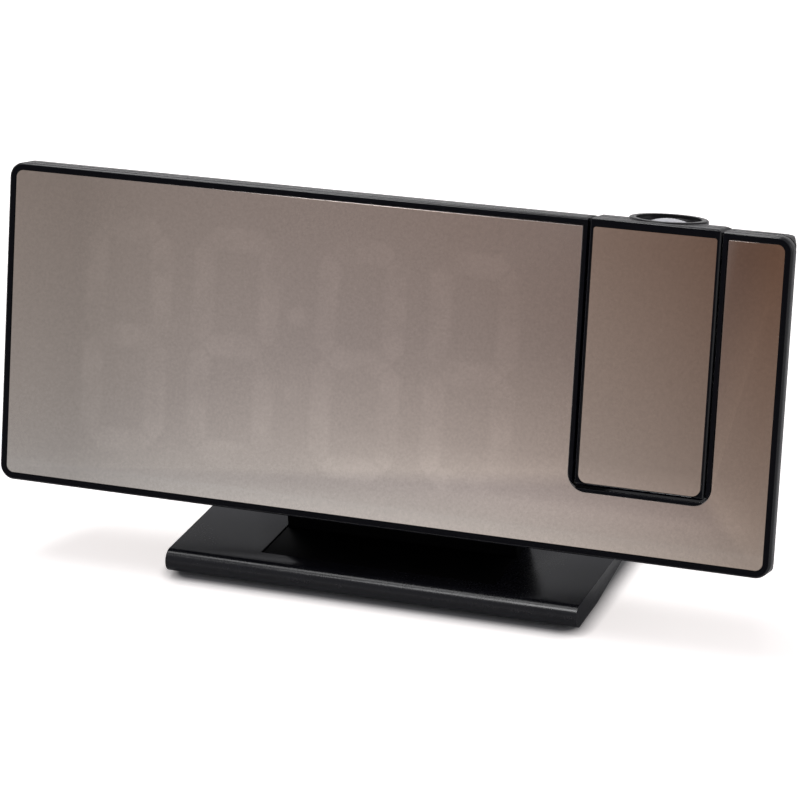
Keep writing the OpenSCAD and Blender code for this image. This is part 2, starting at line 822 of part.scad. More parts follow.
// Turret that carries the focus ring over the arm's sloping top
module ring_turret() {
    intersection() {
        lens_bar(ring_r - 0.3, arm_top - top_block, arm_top - ring_seat);
        translate([arm_x - arm_w, arm_rim_d, arm_bottom]) cube([2 * arm_w, arm_d, arm_len]);
    }
}

// Arm shell: back, sides, round lower end and the block under the focus ring
module arm_shell() color(black) in_housing() {
    rail_top = tube_end - flange_t;
    difference() {
        union() {
            difference() {
                arm_form(0, arm_rim_d, arm_d);
                difference() {
                    arm_form(wall, arm_rim_d - past, arm_d);
                    translate([arm_x - arm_w, 0, arm_top - top_block]) cube([2 * arm_w, arm_d, top_block]);
                }
            }
            ring_turret();
            arm_post_places() depth_bar(0, 0, arm_post_r, arm_rim_d, arm_d - wall);
            for (x = [arm_x0, arm_x1 - pivot_boss])
                pivot_bar(sleeve_r + 2, x, x + pivot_boss);
            for (x = [arm_x0 + wall / 3, arm_x1 - wall / 3 - rail_w])
                translate([x, arm_rim_d + 1, rail_top - rail_t])
                    cube([rail_w, arm_d - arm_rim_d - wall - 0.5, rail_t]);
        }
        ring_seat_cut();
        pivot_bar(sleeve_r + run_fit, arm_x0 - past, arm_x - arm_w / 4);
        pivot_bar(shaft_r + snug, arm_x + arm_w / 4, arm_x1 + past);
        arm_post_places() {
            depth_bar(0, 0, arm_screw_r + screw_grip, arm_rim_d - past, arm_d + past);
            depth_bar(0, 0, arm_screw_head_r + fit, arm_d - arm_head_depth, arm_d + past);
        }
    }
}

module arm_screws() color(steel) in_housing() {
    arm_post_places() {
        head = arm_d - arm_head_depth;
        depth_bar(0, 0, arm_screw_r, mirror_back + fit, head);
        difference() {
            depth_bar(0, 0, arm_screw_head_r, head, head + arm_screw_head_h);
            for (turn = [0, 90])
                translate([0, head + arm_screw_head_h, 0]) rotate([0, turn, 0])
                    cube([1.8, 1, 0.4], center = true);
        }
    }
}

// Left pivot: a hollow sleeve, so the lamp's wires pass through it
module pivot_sleeve() color(steel) in_housing() {
    difference() {
        union() {
            pivot_bar(sleeve_r, bay_x0 - wall, arm_x0 + pivot_boss);
            pivot_bar(sleeve_r + 2, bay_x0 - wall - pivot_flange, bay_x0 - wall);
        }
        pivot_bar(sleeve_r - 1.2, bay_x0 - wall - pivot_flange - past, arm_x0 + pivot_boss + past);
    }
}

// Right pivot: a headed shaft fixed in the arm, turning in the tower's wall
module pivot_shaft() color(steel) in_housing() {
    boss_face = arm_x1 - pivot_boss;
    pivot_bar(shaft_r, boss_face, bay_x1 + pivot_boss + washer_t + 1.8);
    pivot_bar(shaft_r + 1.6, boss_face - pivot_flange, boss_face);
}

module friction_washer() color(steel) in_housing() {
    difference() {
        pivot_bar(shaft_r + 2.4, bay_x1 + pivot_boss, bay_x1 + pivot_boss + washer_t);
        pivot_bar(shaft_r + slide_fit, bay_x1 + pivot_boss - past, bay_x1 + pivot_boss + washer_t + past);
    }
}

module shaft_clip() color(steel) in_housing() {
    x = bay_x1 + pivot_boss + washer_t + run_fit;
    difference() {
        pivot_bar(shaft_r + 2, x, x + 1);
        pivot_bar(shaft_r, x - past, x + 1 + past);
    }
}

// ---- Projection optics ----

// Tube that holds the lens barrel, the image slide and the condenser in line
module optics_tube() color(dark) in_housing() {
    flange_w = arm_w - 2 * wall - 2 * fit;
    difference() {
        union() {
            lens_bar(tube_r, tube_end, tube_top);
            translate([arm_x - flange_w / 2, arm_rim_d + fit, tube_end - flange_t])
                cube([flange_w, flange_d, flange_t]);
        }
        lens_bar(barrel_r + run_fit, tube_step, tube_top + past);
        lens_bar(condenser_r, tube_end - flange_t - past, tube_step - 1);
        lens_bar(aperture_r, tube_step - 2, tube_step + 1);
        translate([arm_x - slide_size[0] / 2 - fit, lens_d - slide_size[1] / 2 - fit, slide_u - fit])
            cube([slide_size[0] + 2 * fit, slide_size[1] + 2 * fit + tube_r, slide_t + 2 * fit]);
    }
}

module lamp_board() color(board_green) in_housing() {
    translate([arm_x - lamp_board_size[0] / 2, lens_d - lamp_board_size[1] / 2,
               tube_end - flange_t - lamp_board_size[2]])
        cube(lamp_board_size);
}

module projector_lamp() color(milk) in_housing() {
    dome_u = tube_end - flange_t + lamp_base_t;
    lens_bar(lamp_base_r, tube_end - flange_t, dome_u);
    intersection() {
        lens_bar(lamp_dome_r - fit, dome_u, dome_u + lamp_dome_r + fit);
        translate([arm_x, lens_d, dome_u]) sphere(lamp_dome_r);
    }
}

module condenser_lens() color(clear) in_housing() {
    intersection() {
        lens_bar(condenser_r, condenser_u, condenser_u + condenser_t);
        translate([arm_x, lens_d, condenser_u + condenser_t - condenser_ball_r]) sphere(condenser_ball_r);
    }
}

module image_slide() color(dark) in_housing() {
    translate([arm_x - slide_size[0] / 2, lens_d - slide_size[1] / 2, slide_u])
        cube([slide_size[0], slide_size[1], slide_t]);
}

module lens_barrel() color(dark) in_housing() {
    difference() {
        lens_bar(barrel_r, barrel_end, barrel_top);
        lens_bar(lens_r + snug, barrel_top - lens_t, barrel_top + past);
        lens_bar(lens_r - lens_rim, barrel_end - past, barrel_top);
    }
}

module projection_lens() color(clear) in_housing() {
    ball_r = (lens_r * lens_r + lens_crown * lens_crown) / (2 * lens_crown);
    lens_bar(lens_r, barrel_top - lens_t, barrel_top);
    intersection() {
        lens_bar(lens_r, barrel_top - 1, barrel_top + lens_crown);
        translate([arm_x, lens_d, barrel_top + lens_crown - ball_r]) sphere(ball_r, $fn = 96);
    }
}

// Focus ring: low chamfered head with a dished mouth, and a neck through the arm
module focus_ring() color(dark) in_housing() {
    chamfer = 0.4;
    rim = arm_top + ring_proud;
    difference() {
        union() {
            translate([arm_x, lens_d, 0]) rotate_extrude()
                polygon([[0, arm_top - ring_seat], [ring_r, arm_top - ring_seat], [ring_r, rim - chamfer],
                         [ring_r - chamfer, rim], [0, rim]]);
            lens_bar(ring_neck_r, ring_neck_end, arm_top - ring_seat + fit);
        }
        lens_bar(barrel_r + run_fit, ring_neck_end - past, rim + past);
        lens_bar(mouth_r, rim - mouth_depth, rim + past);
        // groove for the spring clip
        difference() {
            lens_bar(ring_neck_r + past, arm_top - top_block - clip_t - fit, arm_top - top_block);
            lens_bar(ring_neck_r - clip_groove, arm_top - top_block - clip_t - past, arm_top);
        }
    }
}

module ring_clip() color(steel) in_housing() {
    hi = arm_top - top_block - run_fit;
    difference() {
        lens_bar(ring_neck_r + clip_grip, hi - clip_t, hi);
        lens_bar(ring_neck_r - clip_groove, hi - clip_t - past, hi + past);
    }
}

// ---- Stand ----

// Where a point of the housing, at depth d and height u, lies on the table's axes
function table_y(d, u) = -face_y + u * sin(tilt) + d * cos(tilt);
function table_z(d, u) = face_z + u * cos(tilt) - d * sin(tilt);

module neck_screw_places() {
    for (x = [-neck_screw_x, neck_screw_x], u = neck_screw_us) translate([x, 0, u]) children();
}

// Side drawing of the neck: foot in the base, upright, and plate up the back
module neck_side() {
    low = [table_y(shoulder_d, -half_h), table_z(shoulder_d, -half_h)];
    heel = [table_y(body_d, taper_u - half_h), table_z(body_d, taper_u - half_h)];
    t = (neck_front_y - low[0]) / (heel[0] - low[0]);
    tongue_top = base_top - tongue_sink;
    polygon([[tongue_front_y, seat_z], [tongue_front_y, tongue_top], [neck_front_y, tongue_top],
             [neck_front_y, low[1] + t * (heel[1] - low[1])], heel,
             [table_y(body_d, plate_hi), table_z(body_d, plate_hi)],
             [table_y(body_d + plate_t, plate_hi), table_z(body_d + plate_t, plate_hi)],
             [neck_back_y, table_z(body_d + plate_t, bend_u)], [neck_back_y, seat_z]]);
}

module stand_neck() color(black) {
    difference() {
        along_width(-neck_w / 2, neck_w / 2) neck_side();
        in_housing() {
            neck_screw_places() {
                depth_bar(0, 0, screw_r + screw_grip + 0.2, body_d - past, body_d + plate_t + past);
                depth_bar(0, 0, screw_head_r + slide_fit, body_d + screw_head_h, body_d + plate_t + past);
            }
            // round upper corners of the plate
            for (s = [-1, 1]) translate([s * neck_w / 2, 0, plate_hi])
                along_depth(body_d - past, body_d + plate_t + past) difference() {
                    square(2 * plate_r, center = true);
                    translate([-s * plate_r, -plate_r]) circle(plate_r);
                }
        }
        for (s = [-1, 1]) translate([s * neck_screw_x, foot_screw_y, seat_z - past])
            cylinder(r = screw_r + screw_grip, h = past + seat_screw_bite + slide_fit);
    }
}

module neck_screws() color(steel) in_housing() {
    neck_screw_places() screw(0, 0, body_d + screw_head_h, neck_screw_len);
}

// Side drawing of the base: bull-nosed front, flat top, underside lifting aft
module base_side() {
    front = nose_r - base_d / 2;
    back = base_d / 2 - tail_r;
    translate([front, base_gap + nose_r]) circle(nose_r);
    translate([back, base_top - tail_r]) circle(tail_r);
    polygon([[front, base_gap], [lift_y0, base_gap], [lift_y1, base_gap + base_lift],
             [back, base_gap + base_lift], [back, base_top], [front, base_top]]);
}

module base_screw_places() {
    for (x = [-base_screw_x, base_screw_x], y = [-base_screw_y, base_screw_y])
        translate([x, y, 0]) children();
}

module base_shell() color(black) {
    cavity_w = base_w - 2 * tray_margin + 2 * fit;
    cavity_d = base_d - 2 * tray_margin + 2 * fit;
    roof_z = seat_z - seat_roof;
    difference() {
        union() {
            difference() {
                along_width(-base_w / 2, base_w / 2) base_side();
                translate([-cavity_w / 2, -cavity_d / 2, -past])
                    cube([cavity_w, cavity_d, base_top - shell_t + past]);
            }
            base_screw_places() translate([0, 0, tray_z + tray_floor + fit])
                cylinder(r = base_post_r, h = base_top - shell_t - tray_z - tray_floor);
            // thicker roof under the neck's seat
            translate([-neck_w / 2 - shell_t, tongue_front_y - wall, roof_z])
                cube([neck_w + 2 * shell_t, tongue_len + neck_d + 2 * wall,
                      base_top - shell_t - roof_z + fit]);
        }
        translate([-neck_w / 2 - fit, tongue_front_y - fit, seat_z])
            cube([neck_w + 2 * fit, tongue_len + neck_d + 2 * fit, seat_depth + past]);
        base_screw_places() translate([0, 0, -past])
            cylinder(r = screw_r + screw_grip, h = base_top - 1);
        for (s = [-1, 1]) translate([s * neck_screw_x, foot_screw_y, 0])
            cylinder(r = screw_r + screw_grip, h = base_top);
    }
}

module base_weight() color(steel) {
    w = base_w - 2 * (tray_margin + weight_margin);
    d = base_d - 2 * (tray_margin + weight_margin);
    difference() {
        translate([-w / 2, -d / 2, tray_z + tray_floor]) cube([w, d, weight_t]);
        base_screw_places() translate([0, 0, -past]) cylinder(r = base_post_r + 0.6, h = base_top);
        for (s = [-1, 1]) translate([s * neck_screw_x, foot_screw_y, -past])
            cylinder(r = screw_head_r + slide_fit, h = base_top);
    }
}

// Tray that closes the base from below and carries the steel weight
module base_tray() color(dark) {
    w = base_w - 2 * tray_margin;
    d = base_d - 2 * tray_margin;
    difference() {
        translate([-w / 2, -d / 2, tray_z]) cube([w, d, base_top - shell_t - fit - tray_z]);
        translate([tray_wall - w / 2, tray_wall - d / 2, tray_z + tray_floor])
            cube([w - 2 * tray_wall, d - 2 * tray_wall, base_t]);
        // room for the thicker roof under the neck's seat
        translate([-neck_w / 2 - shell_t - slide_fit, -base_d / 2, seat_z - seat_roof - slide_fit])
            cube([neck_w + 2 * (shell_t + slide_fit), base_d, base_t]);
        base_screw_places() {
            translate([0, 0, -past]) cylinder(r = screw_r + screw_grip + 0.2, h = base_t);
            translate([0, 0, -past])
                cylinder(r = screw_head_r + slide_fit, h = past + tray_z + base_head_sink);
        }
        for (y = foot_ys) foot_strip_form(y, fit / 2);
    }
}

module foot_strip_form(y, grow) {
    strip_w = base_w - 2 * (tray_margin + foot_inset);
    translate([0, y, 0]) linear_extrude(foot_t) slot_shape(strip_w + 2 * grow, foot_w + 2 * grow);
}

module base_screws() color(steel) {
    base_screw_places() translate([0, 0, tray_z + base_head_sink]) {
        mirror([0, 0, 1]) cylinder(r = screw_head_r, h = base_head_h);
        cylinder(r = screw_r, h = base_screw_len);
    }
    for (s = [-1, 1]) translate([s * neck_screw_x, foot_screw_y, seat_z - seat_roof]) {
        mirror([0, 0, 1]) cylinder(r = screw_head_r, h = base_head_h);
        cylinder(r = screw_r, h = seat_roof + seat_screw_bite);
    }
}

module foot_strips() color(dark) {
    for (y = foot_ys) foot_strip_form(y, 0);
}

front_frame();
mirror_panel();
diffuser_film();
light_box();
display_board();
segment_lamps();
board_screws();
rear_cover();
cover_screws();
tact_switches();
buzzer();
dc_socket();
usb_socket();
battery_holder();
battery_contact();
coin_cell();
battery_door();
push_button(0);  // button_mode
push_button(1);  // button_alarm
push_button(2);  // button_down
push_button(3);  // button_up
push_button(4);  // button_snooze
pivot_sleeve();
friction_washer();
arm_bezel();
arm_mirror();
arm_shell();
arm_screws();
pivot_shaft();
shaft_clip();
optics_tube();
lamp_board();
projector_lamp();
condenser_lens();
image_slide();
lens_barrel();
projection_lens();
focus_ring();
ring_clip();
stand_neck();
neck_screws();
base_shell();
base_weight();
base_tray();
base_screws();
foot_strips();
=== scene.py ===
"""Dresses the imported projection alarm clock: rounded mouldings, mirror, optics, finishes, light and camera.
Lengths are in millimetres where a name ends in _MM, and otherwise in metres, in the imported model's frame."""
import json
import math

import bmesh
import bpy
from mathutils import Matrix, Vector


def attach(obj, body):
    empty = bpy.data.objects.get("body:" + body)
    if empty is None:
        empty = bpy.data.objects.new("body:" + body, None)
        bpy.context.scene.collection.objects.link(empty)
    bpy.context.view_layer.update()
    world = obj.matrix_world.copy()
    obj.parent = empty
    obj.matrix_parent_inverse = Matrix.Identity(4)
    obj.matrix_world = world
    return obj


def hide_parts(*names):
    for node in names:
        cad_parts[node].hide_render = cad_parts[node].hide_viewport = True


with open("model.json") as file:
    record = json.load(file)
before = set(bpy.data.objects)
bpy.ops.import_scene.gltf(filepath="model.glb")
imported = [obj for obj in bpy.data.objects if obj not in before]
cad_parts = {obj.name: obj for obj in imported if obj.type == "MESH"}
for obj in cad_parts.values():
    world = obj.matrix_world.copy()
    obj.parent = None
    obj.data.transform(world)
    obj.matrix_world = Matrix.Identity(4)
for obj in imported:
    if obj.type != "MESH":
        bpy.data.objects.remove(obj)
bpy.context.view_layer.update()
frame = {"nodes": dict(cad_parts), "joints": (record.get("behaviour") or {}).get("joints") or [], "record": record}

NODES = frame["nodes"]
RECORD = frame["record"]
BODY_OF = {node: body for body, held in RECORD["behaviour"]["bodies"].items() for node in held}
SLOT_OF = {row["node"]: row["material_slot"] for row in RECORD["subparts"]}
JOINTS = {joint["name"]: joint for joint in frame["joints"]}
MOUNTS = {mount["name"]: mount for mount in RECORD["mounts"]}
TRAY = NODES["base_tray"]
TRAY_CORNERS = [TRAY.matrix_world @ Vector(corner) for corner in TRAY.bound_box]

MM = 0.001

# The tilted face: its centre, and the directions up it and back into the housing
FACE_CENTRE = Vector((0.0, -0.0127, 0.0555))
FACE_UP = Vector(JOINTS["focus_turn"]["axis"]).normalized()
FACE_BACK = Vector((0.0, FACE_UP.z, -FACE_UP.y))

# The unlit display behind the mirror, measured on the face
DISPLAY_X_MM = -20.3
DIGIT_PITCH_MM = 27.4
COLON_PITCH_MM = 15.5
DIGIT_W_MM = 21.8
DIGIT_H_MM = 55.0
SEGMENT_W_MM = 5.2
SEGMENT_GAP_MM = 0.7
DIGIT_LEAN = 0.018
COLON_U_MM = 8.7
COLON_R_MM = 2.3

# The projector's optics, measured from the arm's top along the lens's axis
RING_R_MM = 8.9
RING_PROUD_MM = 0.2
RING_SEAT_MM = 1.7
RING_NECK_R_MM = 7.6
RING_NECK_END_MM = 7.66
CLIP_GROOVE_MM = (5.86, 6.76)
GROOVE_DEPTH_MM = 0.5
NECK_CHAMFER_MM = 0.2
RING_FOOT_CHAMFER_MM = 0.15
RING_RIM_MM = 0.4
MOUTH_R_MM = 7.3
MOUTH_DEPTH_MM = 1.0
MOUTH_LIP_MM = 0.15
MOUTH_FILLET_MM = 0.25
BORE_R_MM = 6.35
BORE_CHAMFER_MM = 0.12
BARREL_R_MM = 6.3
BARREL_LEN_MM = 20.0
BARREL_LIP_MM = 0.3
BARREL_CHAMFER_MM = 0.2
SEAT_LEDGE_MM = 0.8
SEAT_FLARE_MM = ((0.32, 0.0), (0.12, 0.08), (0.02, 0.28))     # (outside the lens, below the lip)
LENS_R_MM = 4.6
LENS_T_MM = 3.0
LENS_CROWN_MM = 0.9
LENS_CHAMFER_MM = 0.15
POLE_R_MM = 0.02
CORNER_STEPS = 4
CROWN_STEPS = 12

# The sockets' inner parts, on the housing's back
SOCKET_U_MM = -24.0
PIN_R_MM = 1.5
TONGUE_U_MM = SOCKET_U_MM + 0.9
TONGUE_HALF_W_MM = 5.6
TONGUE_HALF_H_MM = 1.05

# The rounding of the mouldings: an edge this sharp, between faces this many radii wide, is rounded
RIM_ANGLE = math.radians(30)
RIM_ROOM = 2.2
ROUNDING_STEPS = 2
MERGE_MM = 0.002
SEAM_MM = 0.001
FLAT_ANGLE = math.radians(0.5)

# A painted reflection of the room in the mirror's colour: cool grey low on the left, brown high on the right,
# brightest near the middle
MIRROR_ACROSS_MM = (-88.0, 91.0)
MIRROR_UP_MM = (-33.0, 33.0)
PAINTED_LOW_LEFT_GREY = (0.54, 0.50, 0.47, 1)
PAINTED_LOW_RIGHT_TAUPE = (0.42, 0.34, 0.29, 1)
PAINTED_TOP_LEFT_TAUPE = (0.38, 0.31, 0.27, 1)
PAINTED_TOP_RIGHT_BROWN = (0.19, 0.105, 0.07, 1)
PAINTED_GLOW = 0.60
PAINTED_GLOW_X_MM = 16.0
PAINTED_GLOW_REACH_MM = 92.0
PAINTED_SILL_GLOW = 0.28
PAINTED_SILL_UP_MM = (-33.0, -28.0, -27.0, -16.0)           # opens, full, fades, ends
PAINTED_SILL_ACROSS_MM = (-20.0, 40.0, 80.0, 95.0)
# painted shade: the arm's mirror takes the same painted reflection, made darker
ARM_MIRROR_PAINTED_SHADE = 0.87
MIRROR_PLAIN = 0.76
MIRROR_HAZE = 0.40
MIRROR_DRIFT = 0.06
DIGITS_SHOW = 0.085
MIRROR_EDGE_GREY = (0.62, 0.585, 0.56, 1)

# Cosines to the face's own direction: where the mirror's edge begins, and where a chamfer lies
EDGE_FACING = (0.97, 0.80)
CHAMFER_FACING = (0.25, 0.45, 0.88, 0.96)

# Relief, in metres
LINES_DEPTH = 2e-6
TRACK_DEPTH = 2e-5
SOCKET_GRAIN_DEPTH = 4e-6
MIRROR_WAVE_DEPTH = 1.5e-6

# The floor that the camera sees, in metres: where its painted contact shadow ends, and where it pales into the
# distance
PAINTED_CONTACT_SHADOW = (0.0035, 0.0085)
PALE_DISTANCE = (0.3, 1.8)
NEAR_LIFT = 0.75
FAR_LIFT = 0.40

# The air round the object
WHITE = (1.0, 1.0, 1.0, 1)
HORIZON_GREY = (0.62, 0.62, 0.62, 1)
HIGH_GREY = (0.44, 0.44, 0.46, 1)
FILL_GREY = (0.26, 0.26, 0.28, 1)

# Camera, fitted to the photograph's corners
CAMERA_PLACE = Vector((0.2858, -0.6887, 0.3603))
CAMERA_AZIMUTH = math.radians(22.53)
CAMERA_ELEVATION = math.radians(23.16)
CAMERA_ROLL = math.radians(-2.43)
CAMERA_LENS_MM = 157.39
CAMERA_SENSOR_MM = 36.0


# ---- Node trees ----

class Sums:
    """Chains of Math nodes in one node tree. A value is a number or another node's socket."""

    def __init__(self, tree):
        self.tree = tree

    def feed(self, socket, value):
        """Links an input to another node's output, or gives it a value."""
        if isinstance(value, bpy.types.NodeSocket):
            self.tree.links.new(value, socket)
        else:
            socket.default_value = value

    def op(self, kind, first, second=0.0, clamp=False):
        node = self.tree.nodes.new("ShaderNodeMath")
        node.operation = kind
        node.use_clamp = clamp
        self.feed(node.inputs[0], first)
        self.feed(node.inputs[1], second)
        return node.outputs[0]

    def add(self, a, b):
        return self.op("ADD", a, b)

    def sub(self, a, b):
        return self.op("SUBTRACT", a, b)

    def mul(self, a, b):
        return self.op("MULTIPLY", a, b)

    def size(self, a):
        return self.op("ABSOLUTE", a)

    def least(self, a, b):
        return self.op("MINIMUM", a, b)

    def most(self, a, b):
        return self.op("MAXIMUM", a, b)

    def ramp(self, value, start, end):
        """0 at start, 1 at end and straight between them."""
        return self.op("MULTIPLY", self.sub(value, start), 1.0 / (end - start), clamp=True)

    def window(self, value, opens, full, fades, ends):
        """0 below opens, 1 from full to fades, and 0 again above ends."""
        return self.mul(self.ramp(value, opens, full), self.ramp(value, ends, fades))

    def distance(self, a, b):
        """The length of a line that runs a one way and b square to it."""
        return self.op("SQRT", self.add(self.mul(a, a), self.mul(b, b)))

    def mix(self, mask, a, b):
        """Colour a where the mask is 0 and colour b where it is 1."""
        node = self.tree.nodes.new("ShaderNodeMix")
        node.data_type = "RGBA"
        self.feed(node.inputs[0], mask)
        self.feed(node.inputs[6], a)
        self.feed(node.inputs[7], b)
        return node.outputs[2]

    def tint(self, colour, amount):
        """A colour times one number."""
        node = self.tree.nodes.new("ShaderNodeVectorMath")
        node.operation = "SCALE"
        self.feed(node.inputs[0], colour)
        self.feed(node.inputs[3], amount)
        return node.outputs[0]

    def noise(self, vector, scale, detail=2.0, roughness=0.5):
        node = self.tree.nodes.new("ShaderNodeTexNoise")
        self.feed(node.inputs["Vector"], vector)
        self.feed(node.inputs["Scale"], scale)
        node.inputs["Detail"].default_value = detail
        node.inputs["Roughness"].default_value = roughness
        return node.outputs["Fac"]

    def facing(self, direction):
        """Cosine between the surface's normal, in its piece's own frame, and a direction."""
        node = self.tree.nodes.new("ShaderNodeVectorMath")
        node.operation = "DOT_PRODUCT"
        self.feed(node.inputs[0], self.tree.nodes.new("ShaderNodeTexCoord").outputs["Normal"])
        self.feed(node.inputs[1], direction)
        return node.outputs["Value"]

    def place(self):
        """The surface point in the model's frame."""
        return self.tree.nodes.new("ShaderNodeTexCoord").outputs["Object"]


def new_group(name, inputs, outputs):
    """A shader node group with named sockets: (sums, its inputs by name, its outputs by name)."""
    group = bpy.data.node_groups.new(name, "ShaderNodeTree")
    for label, value in inputs:
        socket = group.interface.new_socket(label, in_out="INPUT", socket_type="NodeSocketFloat")
        socket.default_value = value
    for label in outputs:
        group.interface.new_socket(label, in_out="OUTPUT", socket_type="NodeSocketFloat")
    entry = group.nodes.new("NodeGroupInput")
    exit_node = group.nodes.new("NodeGroupOutput")
    return Sums(group), entry.outputs, exit_node.inputs


def place_group(tree, name, **values):
    """One use of a node group, with its own values."""
    node = tree.nodes.new("ShaderNodeGroup")
    node.node_tree = bpy.data.node_groups[name]
    for label, value in values.items():
        Sums(tree).feed(node.inputs[label], value)
    return node.outputs


def make_face_place():
    """Millimetres across the face and up it, from its centre."""
    sums, _, out = new_group("face_place", [], ["Across", "Up"])
    shift = sums.tree.nodes.new("ShaderNodeVectorMath")
    shift.operation = "SUBTRACT"
    sums.feed(shift.inputs[0], sums.place())
    shift.inputs[1].default_value = FACE_CENTRE
    for label, direction in (("Across", (1, 0, 0)), ("Up", FACE_UP)):
        along = sums.tree.nodes.new("ShaderNodeVectorMath")
        along.operation = "DOT_PRODUCT"
        sums.feed(along.inputs[0], shift.outputs[0])
        along.inputs[1].default_value = direction
        sums.feed(out[label], sums.mul(along.outputs["Value"], 1 / MM))


def make_unlit_digits():
    """1 on the unlit segments of the time display behind the mirror, with soft edges."""
    sums, given, out = new_group("unlit_digits", [("Across", 0.0), ("Up", 0.0), ("Softness", 0.5)], ["Mask"])
    up = sums.size(given["Up"])
    lean = sums.mul(given["Up"], DIGIT_LEAN)
    across = sums.size(sums.sub(sums.sub(given["Across"], lean), DISPLAY_X_MM))
    # the four digits fold onto one, and its two sides onto one
    middle = COLON_PITCH_MM + DIGIT_PITCH_MM / 2
    from_digit = sums.size(sums.sub(sums.size(sums.sub(across, middle)), DIGIT_PITCH_MM / 2))
    half_w = SEGMENT_W_MM / 2
    high = (DIGIT_H_MM - SEGMENT_W_MM) / 2
    wide = (DIGIT_W_MM - SEGMENT_W_MM) / 2

    def segment(along, aside, length):
        """Depth inside a pointed bar: along and aside are distances from its centre."""
        flank = sums.sub(half_w, aside)
        tip = sums.sub(length / 2, sums.add(along, aside))
        return sums.least(flank, tip)

    level_aside = sums.least(up, sums.size(sums.sub(up, high)))
    level = segment(from_digit, level_aside, 2 * wide - SEGMENT_GAP_MM)
    post_aside = sums.size(sums.sub(from_digit, wide))
    post_along = sums.size(sums.sub(up, high / 2))
    post = segment(post_along, post_aside, high - SEGMENT_GAP_MM)
    dot = sums.sub(COLON_R_MM, sums.distance(across, sums.sub(up, COLON_U_MM)))
    inside = sums.most(sums.most(level, post), dot)
    soft = given["Softness"]
    mask = sums.op("DIVIDE", sums.add(inside, soft), sums.mul(soft, 2.0), clamp=True)
    sums.feed(out["Mask"], mask)


def make_moulded_skin():
    """The spark-eroded skin of a moulding: a fine grain, and broad clouds where the gloss differs."""
    sums, given, out = new_group("moulded_skin", [("Grain", 2600.0)], ["Height", "Cloud"])
    point = sums.place()
    fine = sums.noise(point, given["Grain"], detail=3.0, roughness=0.6)
    cloud = sums.noise(point, 45.0)
    sums.feed(out["Height"], fine)
    sums.feed(out["Cloud"], sums.ramp(cloud, 0.32, 0.68))


def make_dust_and_sheen():
    """Thin dust on what faces up, broken up by a fine noise; partly a painted sheen that lightens the tops."""
    sums, given, out = new_group("dust_and_sheen", [("Amount", 0.1)], ["Mask"])
    geometry = sums.tree.nodes.new("ShaderNodeNewGeometry")
    parts = sums.tree.nodes.new("ShaderNodeSeparateXYZ")
    sums.feed(parts.inputs[0], geometry.outputs["Normal"])
    upward = sums.ramp(parts.outputs["Z"], 0.45, 1.0)
    point = sums.place()
    specks = sums.ramp(sums.noise(point, 1900.0, detail=4.0, roughness=0.7), 0.5, 0.72)
    drifts = sums.ramp(sums.noise(point, 60.0, detail=3.0), 0.35, 0.7)
    settled = sums.add(sums.mul(specks, 0.7), sums.mul(drifts, 0.3))
    sums.feed(out["Mask"], sums.mul(sums.mul(upward, settled), given["Amount"]))


def make_brushed_lines():
    """Short brushed or rolled lines along X, and the broad stains of handled metal."""
    sums, _, out = new_group("brushed_lines", [], ["Height", "Stain"])
    stretch = sums.tree.nodes.new("ShaderNodeMapping")
    sums.feed(stretch.inputs["Vector"], sums.place())
    stretch.inputs["Scale"].default_value = (0.06, 1.0, 1.0)
    sums.feed(out["Height"], sums.noise(stretch.outputs[0], 5200.0))
    sums.feed(out["Stain"], sums.noise(sums.place(), 160.0, detail=3.0))


def make_edge_rub():
    """1 on the rubbed corners of a moulding, where its rounded edges turn away from its faces."""
    sums, given, out = new_group("edge_rub", [("Amount", 0.5)], ["Mask"])
    geometry = sums.tree.nodes.new("ShaderNodeNewGeometry")
    sharp = sums.ramp(geometry.outputs["Pointiness"], 0.51, 0.58)
    broken = sums.ramp(sums.noise(sums.place(), 420.0, detail=4.0, roughness=0.65), 0.42, 0.62)
    sums.feed(out["Mask"], sums.mul(sums.mul(sharp, broken), given["Amount"]))


for make in (make_face_place, make_unlit_digits, make_moulded_skin, make_dust_and_sheen,
             make_brushed_lines, make_edge_rub):
    make()


# ---- Finishes ----

def new_finish(name):
    """A material with one Principled shader: (material, sums, shader)."""
    material = bpy.data.materials.new(name)
    material.use_nodes = True
    shader = material.node_tree.nodes["Principled BSDF"]
    return material, Sums(material.node_tree), shader


def add_bump(sums, shader, height, depth):
    """Surface relief of that depth in metres."""
    bump = sums.tree.nodes.new("ShaderNodeBump")
    bump.inputs["Distance"].default_value = depth
    bump.inputs["Strength"].default_value = 1.0
    sums.feed(bump.inputs["Height"], height)
    sums.feed(shader.inputs["Normal"], bump.outputs[0])


